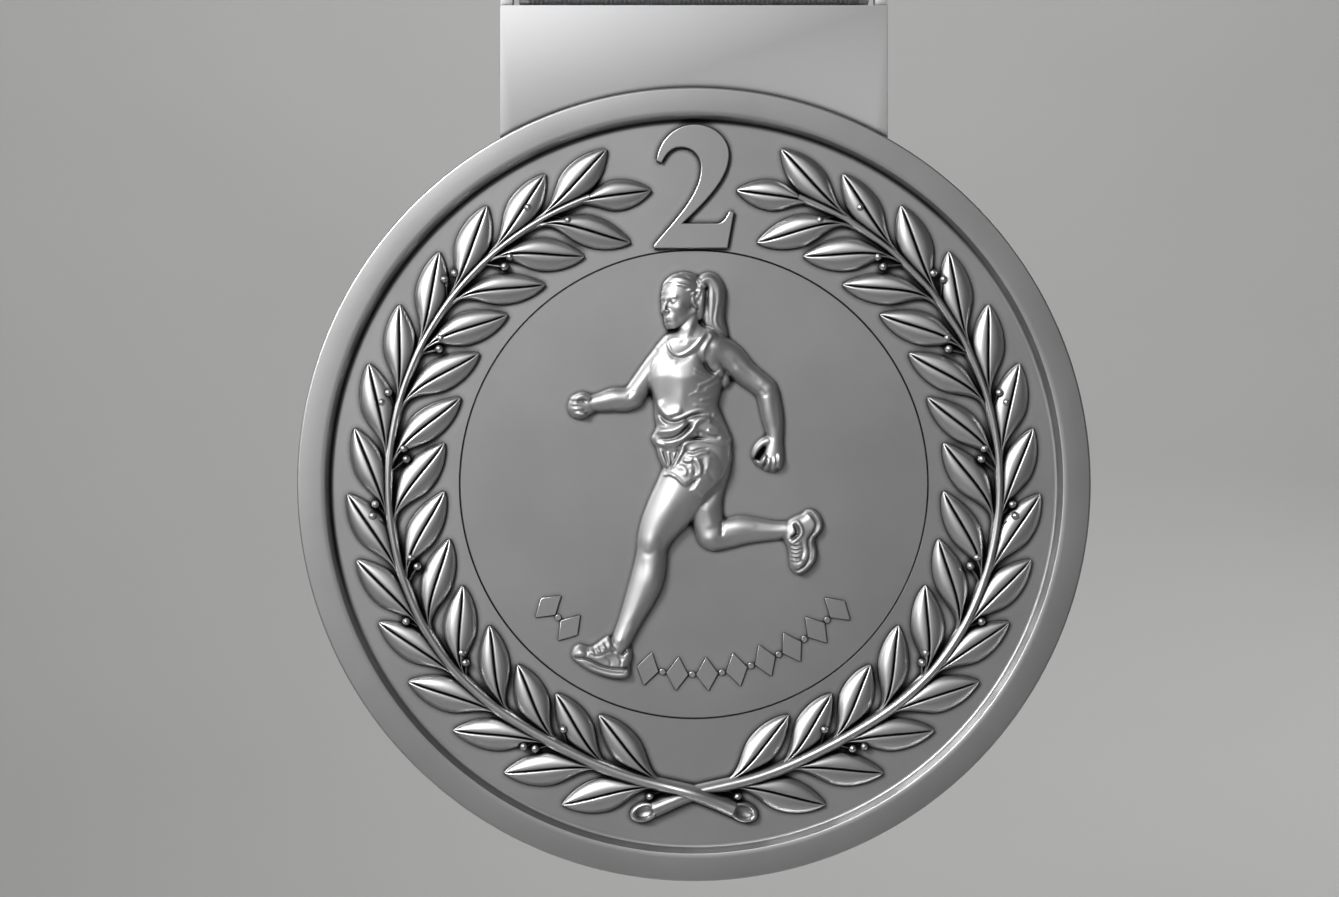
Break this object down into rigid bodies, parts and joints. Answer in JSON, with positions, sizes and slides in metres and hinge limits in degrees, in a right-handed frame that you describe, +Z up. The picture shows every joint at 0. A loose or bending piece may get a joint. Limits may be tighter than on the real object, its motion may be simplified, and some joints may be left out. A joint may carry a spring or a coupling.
{
  "type": "sports finisher medal",
  "caption": "Round medal with a laurel wreath, a numeral and a runner in relief, hung by its wide tab from a folded ribbon with a loop for a peg.",
  "frame": {"origin": "where a peg bears at the top of the folded ribbon's loop, in the middle of the ribbon's width", "axes": "+Z up along the hanging ribbon, -Y out of the medal's front face, +X to the viewer's right when the front is seen"},
  "size_m": [0.072, 0.0148, 0.1802],
  "materials": {
    "antique_silver": "satin antique silver plate on a zinc casting",
    "satin_silver": "fine satin silver plate",
    "bright_relief": "polished crests with dark recesses",
    "plate_silver": "circular brushed, blank for engraving",
    "steel_pin": "polished",
    "ribbon": "ribbed satin weave with plain selvedges",
    "thread": "polyester sewing thread",
    "elastic": "woven elastic",
    "mounting_tape": "double-sided tape"
  },
  "bodies": {
    "pack": {"ribbon_pack": "ribbon", "pack_band": "elastic"},
    "drop": {"ribbon_drop": "ribbon", "ribbon_seam": "thread"},
    "medal": {"medal_body": "antique_silver", "centre_disc": "satin_silver", "centre_disc_tape": "mounting_tape", "numeral": "satin_silver", "laurel_left": "bright_relief", "laurel_right": "bright_relief", "runner": "bright_relief", "ornament_row": "satin_silver", "back_plate": "plate_silver", "back_plate_tape": "mounting_tape", "hanger_bar": "steel_pin"}
  },
  "joints": [
    {"name": "ribbon_fold", "type": "hinge", "parent": "pack", "child": "drop", "pos_m": [0, 0, -0.0844], "axis": [1, 0, 0], "range_deg": [-60, 60]},
    {"name": "medal_swing", "type": "hinge", "parent": "drop", "child": "medal", "pos_m": [0, 0, -0.0974], "axis": [1, 0, 0], "range_deg": [-80, 80]}
  ]
}
